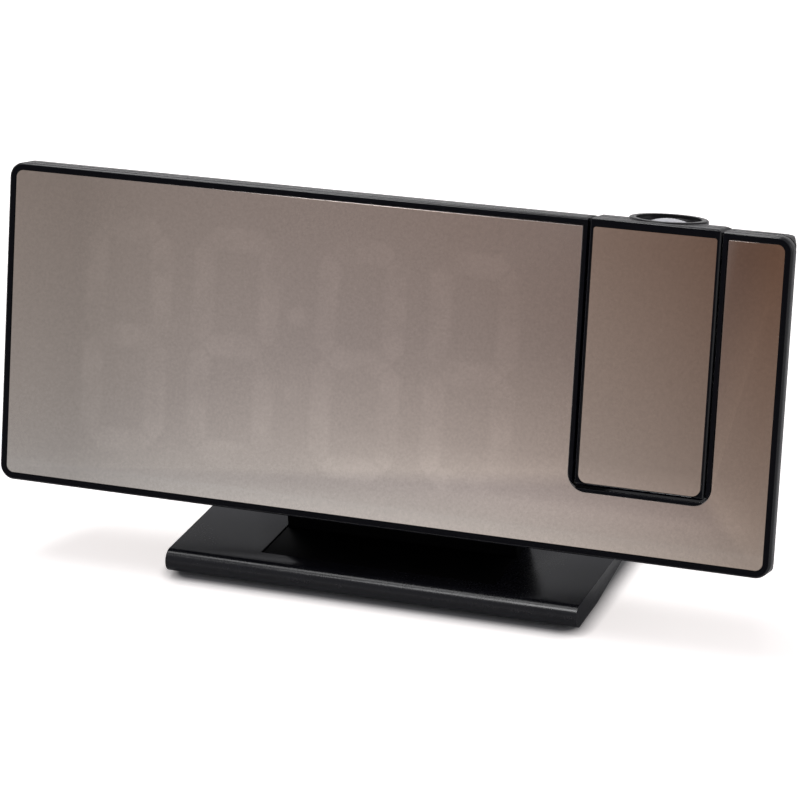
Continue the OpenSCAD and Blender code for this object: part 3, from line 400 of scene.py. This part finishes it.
def moulding(name, colour, roughness, gloss, grain=2600.0, depth=4e-6, dust_and_sheen_amount=0.05, rub=0.25, spread=0.08,
             chamfer_gloss=0.0):
    """Black or white moulded plastic: grain, clouded gloss, a little dust above, partly a painted sheen on the
    tops, and rubbed corners.
    chamfer_gloss adds gloss to the chamfers between the housing's face and its sides."""
    material, sums, shader = new_finish(name)
    skin = place_group(sums.tree, "moulded_skin", Grain=grain)
    # dust on what faces up, partly a painted sheen on the tops
    dust_and_sheen_mask = place_group(sums.tree, "dust_and_sheen", Amount=dust_and_sheen_amount)["Mask"]
    rubbed = place_group(sums.tree, "edge_rub", Amount=rub)["Mask"]
    pale = tuple(0.35 * part + 0.22 for part in colour)
    worn = tuple(min(1.0, 1.7 * part + 0.012) for part in colour)
    body = sums.mix(rubbed, (*colour, 1), (*worn, 1))
    sums.feed(shader.inputs["Base Color"], sums.mix(dust_and_sheen_mask, body, (*pale, 1)))
    matt = sums.add(sums.mul(skin["Cloud"], spread), roughness - spread / 2)
    matt = sums.add(matt, sums.mul(dust_and_sheen_mask, 0.6))
    sums.feed(shader.inputs["Roughness"], sums.sub(matt, sums.mul(rubbed, 0.12)))
    shader.inputs["Specular IOR Level"].default_value = gloss
    if chamfer_gloss:
        frontal = sums.size(sums.facing(FACE_BACK))
        slanted = sums.window(frontal, *CHAMFER_FACING)
        polish = sums.add(sums.mul(slanted, chamfer_gloss), gloss)
        sums.feed(shader.inputs["Specular IOR Level"], polish)
    add_bump(sums, shader, skin["Height"], depth)
    return material


def painted_room_reflection(sums, across, up):
    """A painted reflection of the room's broad shading in the mirror: four corner colours, a painted glow and a
    pale painted sill low down.
    """
    rightward = sums.ramp(across, *MIRROR_ACROSS_MM)
    rightward = sums.mul(rightward, rightward)
    upward = sums.op("SQRT", sums.ramp(up, *MIRROR_UP_MM))
    low = sums.mix(rightward, PAINTED_LOW_LEFT_GREY, PAINTED_LOW_RIGHT_TAUPE)
    top = sums.mix(rightward, PAINTED_TOP_LEFT_TAUPE, PAINTED_TOP_RIGHT_BROWN)
    # painted glow: the mirror's colour lighter near the middle, as the room's reflection falls
    off_painted_glow = sums.ramp(sums.size(sums.sub(across, PAINTED_GLOW_X_MM)), 0.0, PAINTED_GLOW_REACH_MM)
    painted_glow = sums.sub(1.0 + PAINTED_GLOW, sums.mul(sums.mul(off_painted_glow, off_painted_glow), PAINTED_GLOW))
    # painted reflection: a paler band low on the mirror
    painted_sill = sums.mul(sums.window(up, *PAINTED_SILL_UP_MM), sums.window(across, *PAINTED_SILL_ACROSS_MM))
    painted_glow = sums.mul(painted_glow, sums.add(sums.mul(painted_sill, PAINTED_SILL_GLOW), 1.0))
    return sums.tint(sums.mix(upward, low, top), painted_glow)


def mirror_finish(name, painted_shade):
    """Half-silvered acrylic over a dark display, its colour a painted reflection of a room's shading, with the
    unlit digits just showing, a fine haze, faint wiping marks and a pale matt edge."""
    material, sums, shader = new_finish(name)
    spot = place_group(sums.tree, "face_place")
    across, up = spot["Across"], spot["Up"]
    digits = place_group(sums.tree, "unlit_digits", Across=across, Up=up, Softness=0.7)["Mask"]
    point = sums.place()
    haze = sums.noise(point, 1500.0, detail=3.0, roughness=0.75)
    drift = sums.noise(point, 28.0)
    patchy = sums.ramp(sums.noise(point, 130.0), 0.30, 0.62)
    light = sums.add(sums.mul(haze, MIRROR_HAZE), sums.add(sums.mul(drift, MIRROR_DRIFT), MIRROR_PLAIN))
    # the painted shade darkens the arm's copy of the mirror
    light = sums.mul(sums.add(light, sums.mul(sums.mul(digits, patchy), DIGITS_SHOW)), painted_shade)
    edge = sums.ramp(sums.facing(-FACE_BACK), *EDGE_FACING)
    # the silvering's colour is a painted reflection of the room
    silvering_and_painted_reflection = sums.tint(painted_room_reflection(sums, across, up), light)
    sums.feed(shader.inputs["Base Color"], sums.mix(edge, silvering_and_painted_reflection, MIRROR_EDGE_GREY))
    sums.feed(shader.inputs["Metallic"], sums.sub(1.0, edge))
    wiped = sums.noise(point, 75.0, detail=5.0, roughness=0.6)
    matt = sums.add(sums.add(sums.mul(wiped, 0.06), 0.10), sums.mul(edge, 0.4))
    sums.feed(shader.inputs["Roughness"], matt)
    add_bump(sums, shader, sums.noise(point, 40.0, detail=1.0), MIRROR_WAVE_DEPTH)
    return material


def steel_finish():
    """Plated steel with its drawing lines and stains."""
    material, sums, shader = new_finish("plated_steel")
    lines = place_group(sums.tree, "brushed_lines")
    colour = sums.mix(lines["Stain"], (0.62, 0.63, 0.65, 1), (0.4464, 0.4536, 0.468, 1))
    sums.feed(shader.inputs["Base Color"], colour)
    shader.inputs["Metallic"].default_value = 1.0
    sums.feed(shader.inputs["Roughness"], sums.add(sums.mul(lines["Stain"], 0.18), 0.21))
    add_bump(sums, shader, lines["Height"], LINES_DEPTH)
    return material


def lens_finish():
    """Optical plastic under a breath of pale haze."""
    material, sums, shader = new_finish("optical_plastic")
    haze = sums.noise(sums.place(), 300.0, detail=4.0)
    colour = sums.mix(haze, (0.92, 0.92, 0.99, 1), (0.98, 0.97, 1.0, 1))
    sums.feed(shader.inputs["Base Color"], colour)
    sums.feed(shader.inputs["Roughness"], sums.add(sums.mul(haze, 0.03), 0.01))
    shader.inputs["Transmission Weight"].default_value = 0.30
    shader.inputs["IOR"].default_value = 1.70
    return material


def board_finish():
    """Green solder mask, paler and a little raised over its copper tracks."""
    material, sums, shader = new_finish("circuit_board_mask")
    cells = sums.tree.nodes.new("ShaderNodeTexVoronoi")
    cells.feature = "DISTANCE_TO_EDGE"
    cells.distance = "EUCLIDEAN"
    cells.inputs["Scale"].default_value = 230.0
    sums.feed(cells.inputs["Vector"], sums.place())
    tracks = sums.ramp(cells.outputs["Distance"], 0.09, 0.05)
    weave = sums.noise(sums.place(), 2200.0, detail=1.0)
    mask = sums.mix(tracks, (0.012, 0.085, 0.035, 1), (0.03, 0.17, 0.06, 1))
    sums.feed(shader.inputs["Base Color"], mask)
    sums.feed(shader.inputs["Roughness"], sums.add(sums.mul(weave, 0.15), 0.28))
    add_bump(sums, shader, tracks, TRACK_DEPTH)
    return material


def inlet_finish(centre_x_mm):
    """Black socket plastic whose centre pin is bright metal."""
    material, sums, shader = new_finish("inlet_and_pin")
    spot = place_group(sums.tree, "face_place")
    skin = place_group(sums.tree, "moulded_skin", Grain=2400.0)
    reach = sums.distance(sums.sub(spot["Across"], centre_x_mm), sums.sub(spot["Up"], SOCKET_U_MM))
    pin = sums.op("LESS_THAN", reach, PIN_R_MM)
    colour = sums.mix(pin, (0.016, 0.016, 0.017, 1), (0.62, 0.62, 0.64, 1))
    sums.feed(shader.inputs["Base Color"], colour)
    sums.feed(shader.inputs["Metallic"], pin)
    rough = sums.sub(sums.add(sums.mul(skin["Cloud"], 0.08), 0.40), sums.mul(pin, 0.18))
    sums.feed(shader.inputs["Roughness"], rough)
    add_bump(sums, shader, skin["Height"], SOCKET_GRAIN_DEPTH)
    return material


def port_finish(centre_x_mm):
    """A bright folded shell round a black contact tongue."""
    material, sums, shader = new_finish("port_and_tongue")
    spot = place_group(sums.tree, "face_place")
    lines = place_group(sums.tree, "brushed_lines")
    beside = sums.sub(TONGUE_HALF_W_MM, sums.size(sums.sub(spot["Across"], centre_x_mm)))
    above = sums.sub(TONGUE_HALF_H_MM, sums.size(sums.sub(spot["Up"], TONGUE_U_MM)))
    tongue = sums.op("GREATER_THAN", sums.least(beside, above), 0.0)
    colour = sums.mix(tongue, (0.66, 0.66, 0.67, 1), (0.02, 0.02, 0.021, 1))
    sums.feed(shader.inputs["Base Color"], colour)
    sums.feed(shader.inputs["Metallic"], sums.sub(1.0, tongue))
    sums.feed(shader.inputs["Roughness"], sums.add(sums.mul(lines["Stain"], 0.15), 0.22))
    add_bump(sums, shader, lines["Height"], LINES_DEPTH)
    return material


def milk_finish():
    """White diffusing plastic that lets a little light through."""
    material = moulding("white_diffuser", (0.80, 0.80, 0.77), 0.45, 0.4, grain=1800.0, dust_and_sheen_amount=0.0, rub=0.0)
    material.node_tree.nodes["Principled BSDF"].inputs["Subsurface Weight"].default_value = 0.2
    return material


FINISHES = {
    "housing_black": moulding("housing_satin", (0.0022, 0.0022, 0.0048), 0.24, 0.08, depth=2e-6,
                              dust_and_sheen_amount=0.03, spread=0.06, chamfer_gloss=0.42),
    "neck_black": moulding("neck_matt", (0.0016, 0.0016, 0.0019), 0.55, 0.04, grain=1800.0, depth=8e-6,
                           dust_and_sheen_amount=0.01, rub=0.1),
    # the base's dust is raised to paint a sheen on its top as well
    "base_black": moulding("base_satin", (0.0060, 0.0060, 0.0095), 0.22, 0.36, grain=1500.0, depth=5e-6,
                           dust_and_sheen_amount=0.08),
    "mirror": mirror_finish("mirror_acrylic", 1.0),
    "white_plastic": milk_finish(),
    "circuit_board": board_finish(),
    "steel": steel_finish(),
    "inner_black": moulding("inner_matt", (0.004, 0.004, 0.004), 0.55, 0.08, grain=1400.0, depth=8e-6,
                            dust_and_sheen_amount=0.0),
    "ring_black": moulding("ring_satin", (0.004, 0.004, 0.005), 0.24, 0.16, grain=3000.0, depth=3e-6),
    "control_black": moulding("control_matt", (0.020, 0.020, 0.022), 0.44, 0.40, grain=1700.0, depth=7e-6),
    "lens": lens_finish(),
    "rubber": moulding("foot_rubber", (0.018, 0.018, 0.018), 0.78, 0.25, grain=900.0, depth=2e-5, dust_and_sheen_amount=0.0),
}


def dress(piece, finish):
    """One material all over a piece."""
    piece.data.materials.clear()
    piece.data.materials.append(finish)


# ---- Rounded mouldings ----

def pick_only(piece):
    """Only this object is selected and active, in object mode."""
    if bpy.context.object and bpy.context.object.mode != "OBJECT":
        bpy.ops.object.mode_set(mode="OBJECT")
    bpy.ops.object.select_all(action="DESELECT")
    bpy.context.view_layer.objects.active = piece
    piece.select_set(True)


def merged_copy(node, name):
    """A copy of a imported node's mesh in millimetres, its triangles merged into clean faces."""
    piece = bpy.data.objects.new(name, NODES[node].data.copy())
    bpy.context.scene.collection.objects.link(piece)
    piece.data.transform(Matrix.Scale(1 / MM, 4))
    pick_only(piece)
    bpy.ops.object.mode_set(mode="EDIT")
    bpy.ops.mesh.select_all(action="SELECT")
    bpy.ops.mesh.customdata_custom_splitnormals_clear()
    bpy.ops.mesh.remove_doubles(threshold=MERGE_MM)
    bpy.ops.mesh.dissolve_limited(angle_limit=FLAT_ANGLE)
    bpy.ops.object.mode_set(mode="OBJECT")
    return piece


def mark_rims(piece, radius_mm):
    """Weights the outer edges that a rounding of this radius fits on."""
    mesh = bmesh.new()
    mesh.from_mesh(piece.data)
    weights = mesh.edges.layers.float.new("bevel_weight_edge")
    room = {}
    for face in mesh.faces:
        longest = max(edge.calc_length() for edge in face.edges)
        room[face] = face.calc_area() / longest if longest else 0.0
    for edge in mesh.edges:
        if not edge.is_manifold or edge.calc_face_angle_signed(0.0) < RIM_ANGLE:
            continue
        if min(room[face] for face in edge.link_faces) > RIM_ROOM * radius_mm:
            edge[weights] = 1.0
    mesh.to_mesh(piece.data)
    mesh.free()


def finish_piece(piece, node, smooth=35.0):
    """Smooth shading, back to metres, and the place of the node that the piece stands for."""
    pick_only(piece)
    bpy.ops.object.shade_smooth_by_angle(angle=math.radians(smooth))
    piece.data.transform(Matrix.Scale(MM, 4))
    dress(piece, FINISHES[SLOT_OF[node]])
    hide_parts(node)
    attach(piece, BODY_OF[node])
    return piece


def rounded(node, radius_mm):
    """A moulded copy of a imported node, its outer edges rounded as a mould leaves them."""
    piece = merged_copy(node, node + "_rounded")
    mark_rims(piece, radius_mm)
    bevel = piece.modifiers.new("edge_radius", "BEVEL")
    bevel.limit_method = "WEIGHT"
    bevel.width = radius_mm
    bevel.segments = ROUNDING_STEPS
    bevel.use_clamp_overlap = False
    bevel.miter_outer = "MITER_ARC"
    pick_only(piece)
    bpy.ops.object.modifier_apply(modifier=bevel.name)
    return finish_piece(piece, node)


ROUNDINGS_MM = {
    "front_frame": 0.14, "rear_cover": 0.30, "arm_bezel": 0.12, "arm_shell": 0.25,
    "stand_neck": 0.30, "base_shell": 0.25, "mirror_panel": 0.26, "arm_mirror": 0.24,
    "battery_door": 0.20, "foot_strips": 0.20, "base_tray": 0.20, "dc_socket": 0.10, "usb_socket": 0.04,
    "cover_screws": 0.10, "neck_screws": 0.10, "base_screws": 0.10,
    "button_mode": 0.14, "button_alarm": 0.14, "button_down": 0.14, "button_up": 0.14, "button_snooze": 0.14,
}
DRESSED = {node: rounded(node, radius) for node, radius in ROUNDINGS_MM.items()}
# the arm's mirror: a darker copy of the mirror's painted reflection, a painted shade
dress(DRESSED["arm_mirror"], mirror_finish("arm_mirror_acrylic", ARM_MIRROR_PAINTED_SHADE))


# ---- Turned optics ----

def turned(name, profile_mm, around=128, closed=True):
    """A piece turned about the lens's axis: each profile point is (radius, height above the arm's top).
    A profile that isn't closed ends in a pole."""
    bpy.ops.object.select_all(action="DESELECT")
    first_r, first_h = profile_mm[0]
    bpy.ops.mesh.primitive_circle_add(vertices=around, radius=first_r, location=(0, 0, 0))
    piece = bpy.context.object
    piece.name = name
    bpy.ops.object.mode_set(mode="EDIT")
    bpy.ops.mesh.select_all(action="SELECT")
    bpy.ops.transform.translate(value=(0, 0, first_h))
    here_r, here_h = first_r, first_h
    for radius, height in profile_mm[1:]:
        bpy.ops.mesh.extrude_edges_move(TRANSFORM_OT_translate={"value": (0, 0, height - here_h)})
        if radius != here_r:
            share = radius / here_r
            bpy.ops.transform.resize(value=(share, share, 1), center_override=(0, 0, height))
        here_r, here_h = radius, height
    if not closed:
        bpy.ops.mesh.merge(type="CENTER")
    bpy.ops.mesh.select_all(action="SELECT")
    bpy.ops.mesh.remove_doubles(threshold=SEAM_MM)
    bpy.ops.mesh.normals_make_consistent(inside=False)
    bpy.ops.object.mode_set(mode="OBJECT")
    turn = Matrix.Rotation(-math.atan2(FACE_UP.y, FACE_UP.z), 4, "X")
    base = Vector(JOINTS["focus_turn"]["pos_m"]) / MM
    piece.data.transform(Matrix.Translation(base) @ turn)
    return piece


def outer_corner(radius, height, r_mm):
    """A rounded corner of a profile, from the outside over onto the top."""
    turns = [math.radians(90 * i / CORNER_STEPS) for i in range(CORNER_STEPS + 1)]
    return [(radius - r_mm + r_mm * math.cos(turn), height - r_mm + r_mm * math.sin(turn)) for turn in turns]


def inner_corner(radius, height, r_mm):
    """A rounded corner of a profile, from the top over into a mouth."""
    turns = [math.radians(90 * i / CORNER_STEPS) for i in range(CORNER_STEPS + 1)]
    return [(radius + r_mm - r_mm * math.sin(turn), height - r_mm + r_mm * math.cos(turn)) for turn in turns]


def make_focus_ring():
    """Low ring with a rounded rim, a dished mouth and a clip groove in its neck."""
    groove_top, groove_low = (-depth for depth in CLIP_GROOVE_MM)
    groove_r = RING_NECK_R_MM - GROOVE_DEPTH_MM
    end = -RING_NECK_END_MM
    profile = [(BORE_R_MM, end), (RING_NECK_R_MM - NECK_CHAMFER_MM, end),
               (RING_NECK_R_MM, end + NECK_CHAMFER_MM), (RING_NECK_R_MM, groove_low),
               (groove_r, groove_low), (groove_r, groove_top),
               (RING_NECK_R_MM, groove_top), (RING_NECK_R_MM, -RING_SEAT_MM),
               (RING_R_MM - RING_FOOT_CHAMFER_MM, -RING_SEAT_MM),
               (RING_R_MM, RING_FOOT_CHAMFER_MM - RING_SEAT_MM)]
    profile += outer_corner(RING_R_MM, RING_PROUD_MM, RING_RIM_MM)
    profile += inner_corner(MOUTH_R_MM, RING_PROUD_MM, MOUTH_LIP_MM)
    floor = RING_PROUD_MM - MOUTH_DEPTH_MM
    bulge = 0.32 * MOUTH_FILLET_MM
    profile += [(MOUTH_R_MM, floor + MOUTH_FILLET_MM), (MOUTH_R_MM - bulge, floor + bulge),
                (MOUTH_R_MM - MOUTH_FILLET_MM, floor)]
    profile += [(BORE_R_MM + BORE_CHAMFER_MM, floor), (BORE_R_MM, floor - BORE_CHAMFER_MM), (BORE_R_MM, end)]
    return finish_piece(turned("focus_ring_turned", profile), "focus_ring", smooth=50)


def make_lens_barrel():
    """Sliding barrel: a thin tube with a flared seat for the lens and a rounded front lip."""
    top = RING_PROUD_MM - MOUTH_DEPTH_MM
    bottom = -BARREL_LEN_MM
    seat_r = LENS_R_MM - SEAT_LEDGE_MM
    pocket_r = LENS_R_MM + SEAT_FLARE_MM[-1][0]
    profile = [(seat_r, bottom), (BARREL_R_MM - BARREL_CHAMFER_MM, bottom),
               (BARREL_R_MM, bottom + BARREL_CHAMFER_MM)]
    profile += outer_corner(BARREL_R_MM, top, BARREL_LIP_MM)
    profile += [(LENS_R_MM + outside, top - below) for outside, below in SEAT_FLARE_MM]
    profile += [(pocket_r, top - LENS_T_MM), (seat_r, top - LENS_T_MM), (seat_r, bottom)]
    return finish_piece(turned("lens_barrel_turned", profile), "lens_barrel", smooth=50)


def make_projection_lens():
    """Plano-convex lens with a flat ground edge and a true spherical crown."""
    top = RING_PROUD_MM - MOUTH_DEPTH_MM
    ball_r = (LENS_R_MM ** 2 + LENS_CROWN_MM ** 2) / (2 * LENS_CROWN_MM)
    profile = [(POLE_R_MM, top - LENS_T_MM), (LENS_R_MM - LENS_CHAMFER_MM, top - LENS_T_MM),
               (LENS_R_MM, top - LENS_T_MM + LENS_CHAMFER_MM), (LENS_R_MM, top)]
    widest = math.asin(LENS_R_MM / ball_r)
    for i in range(1, CROWN_STEPS):
        angle = widest * (1 - i / CROWN_STEPS)
        profile.append((ball_r * math.sin(angle), top + LENS_CROWN_MM - ball_r + ball_r * math.cos(angle)))
    profile.append((POLE_R_MM, top + LENS_CROWN_MM))
    piece = turned("projection_lens_turned", profile, around=96, closed=False)
    pick_only(piece)
    bpy.ops.object.mode_set(mode="EDIT")
    bpy.ops.mesh.select_all(action="SELECT")
    bpy.ops.mesh.fill_holes(sides=0)
    bpy.ops.mesh.normals_make_consistent(inside=False)
    bpy.ops.object.mode_set(mode="OBJECT")
    return finish_piece(piece, "projection_lens", smooth=40)


make_focus_ring()
make_lens_barrel()
make_projection_lens()

for node, piece in NODES.items():
    dress(piece, FINISHES[SLOT_OF[node]])
dress(DRESSED["dc_socket"], inlet_finish(MOUNTS["power_inlet"]["pos_m"][0] / MM))
dress(DRESSED["usb_socket"], port_finish(MOUNTS["charging_port"]["pos_m"][0] / MM))


# ---- Studio ----

def make_floor():
    """Large pale floor; the camera sees it lifted to white, except near the tray, where the unlifted floor is a
    painted contact shadow over its real shadow.
    """
    bpy.ops.object.select_all(action="DESELECT")
    bpy.ops.mesh.primitive_plane_add(size=12.0, location=(0, 0, 0))
    floor = bpy.context.object
    floor.name = "studio_floor"
    material, sums, shader = new_finish("studio_paper")
    grain = sums.noise(sums.place(), 700.0)
    paper = sums.mix(grain, (0.83, 0.82, 0.81, 1), (0.86, 0.86, 0.86, 1))
    sums.feed(shader.inputs["Base Color"], paper)
    shader.inputs["Roughness"].default_value = 0.9
    shader.inputs["Specular IOR Level"].default_value = 0.0
    parts = sums.tree.nodes.new("ShaderNodeSeparateXYZ")
    sums.feed(parts.inputs[0], sums.place())
    outside_tray = []
    for axis, label in enumerate("XY"):
        low, high = (pick(corner[axis] for corner in TRAY_CORNERS) for pick in (min, max))
        from_middle = sums.size(sums.sub(parts.outputs[label], (low + high) / 2))
        outside_tray.append(sums.most(sums.sub(from_middle, (high - low) / 2), 0.0))
    # near the tray the camera's lift fades out, leaving a painted contact shadow over the real one
    clear = sums.ramp(sums.distance(*outside_tray), *PAINTED_CONTACT_SHADOW)
    far = sums.ramp(sums.distance(parts.outputs["X"], parts.outputs["Y"]), *PALE_DISTANCE)
    rays = sums.tree.nodes.new("ShaderNodeLightPath").outputs
    lift = sums.add(sums.mul(sums.mul(clear, NEAR_LIFT), rays["Is Camera Ray"]), sums.mul(far, FAR_LIFT))
    shader.inputs["Emission Color"].default_value = (1.0, 0.95, 0.93, 1)
    sums.feed(shader.inputs["Emission Strength"], lift)
    dress(floor, material)


def make_world():
    """White to the camera, grey in reflections and darker above the horizon, and a plain fill otherwise."""
    world = bpy.data.worlds.new("studio_air")
    bpy.context.scene.world = world
    world.use_nodes = True
    sums = Sums(world.node_tree)
    parts = sums.tree.nodes.new("ShaderNodeSeparateXYZ")
    sums.feed(parts.inputs[0], sums.tree.nodes.new("ShaderNodeTexCoord").outputs["Generated"])
    height = sums.ramp(parts.outputs["Z"], 0.0, 0.35)
    mirrored_air = sums.mix(height, HORIZON_GREY, HIGH_GREY)
    rays = sums.tree.nodes.new("ShaderNodeLightPath").outputs
    mirrored = sums.most(rays["Is Glossy Ray"], rays["Is Transmission Ray"])
    lit_air = sums.mix(mirrored, FILL_GREY, mirrored_air)
    air = sums.mix(rays["Is Camera Ray"], lit_air, WHITE)
    sums.feed(sums.tree.nodes["Background"].inputs["Color"], air)


def add_softbox(name, place, target, width, height, watts, sheen_only=False):
    """A rectangular soft light that the camera doesn't see; a sheen-only one just gives highlights."""
    light = bpy.data.lights.new(name, "AREA")
    light.shape = "RECTANGLE"
    light.size = width
    light.size_y = height
    light.energy = watts
    lamp = bpy.data.objects.new(name, light)
    bpy.context.scene.collection.objects.link(lamp)
    lamp.location = place
    lamp.rotation_euler = (Vector(target) - Vector(place)).to_track_quat("-Z", "Y").to_euler()
    lamp.visible_camera = False
    lamp.visible_diffuse = not sheen_only


def make_camera():
    """The photograph's view: azimuth, elevation, a slight roll and a long lens."""
    sin_a, cos_a = math.sin(CAMERA_AZIMUTH), math.cos(CAMERA_AZIMUTH)
    sin_e, cos_e = math.sin(CAMERA_ELEVATION), math.cos(CAMERA_ELEVATION)
    forward = Vector((-sin_a * cos_e, cos_a * cos_e, -sin_e))
    right = Vector((cos_a, sin_a, 0.0))
    up = right.cross(forward)
    rolled_right = math.cos(CAMERA_ROLL) * right + math.sin(CAMERA_ROLL) * up
    rolled_up = math.cos(CAMERA_ROLL) * up - math.sin(CAMERA_ROLL) * right
    data = bpy.data.cameras.new("photograph_view")
    data.lens = CAMERA_LENS_MM
    data.sensor_width = CAMERA_SENSOR_MM
    data.clip_start = 0.01
    camera = bpy.data.objects.new("photograph_view", data)
    bpy.context.scene.collection.objects.link(camera)
    turn = Matrix((rolled_right, rolled_up, -forward)).transposed().to_4x4()
    camera.matrix_world = Matrix.Translation(CAMERA_PLACE) @ turn
    bpy.context.scene.camera = camera


make_floor()
make_world()
add_softbox("top_softbox", (-0.30, 0.26, 1.00), (0.0, 0.0, 0.04), width=0.9, height=0.5, watts=6.0)
add_softbox("front_left_softbox", (-0.17, -0.36, 0.76), (0.03, -0.04, 0.02), width=0.20, height=0.30,
            watts=2.2, sheen_only=True)
add_softbox("right_softbox", (1.1, 0.35, 0.55), (0.0, 0.0, 0.05), width=0.7, height=0.7, watts=2.0)
make_camera()
bpy.context.scene.view_settings.view_transform = "Standard"
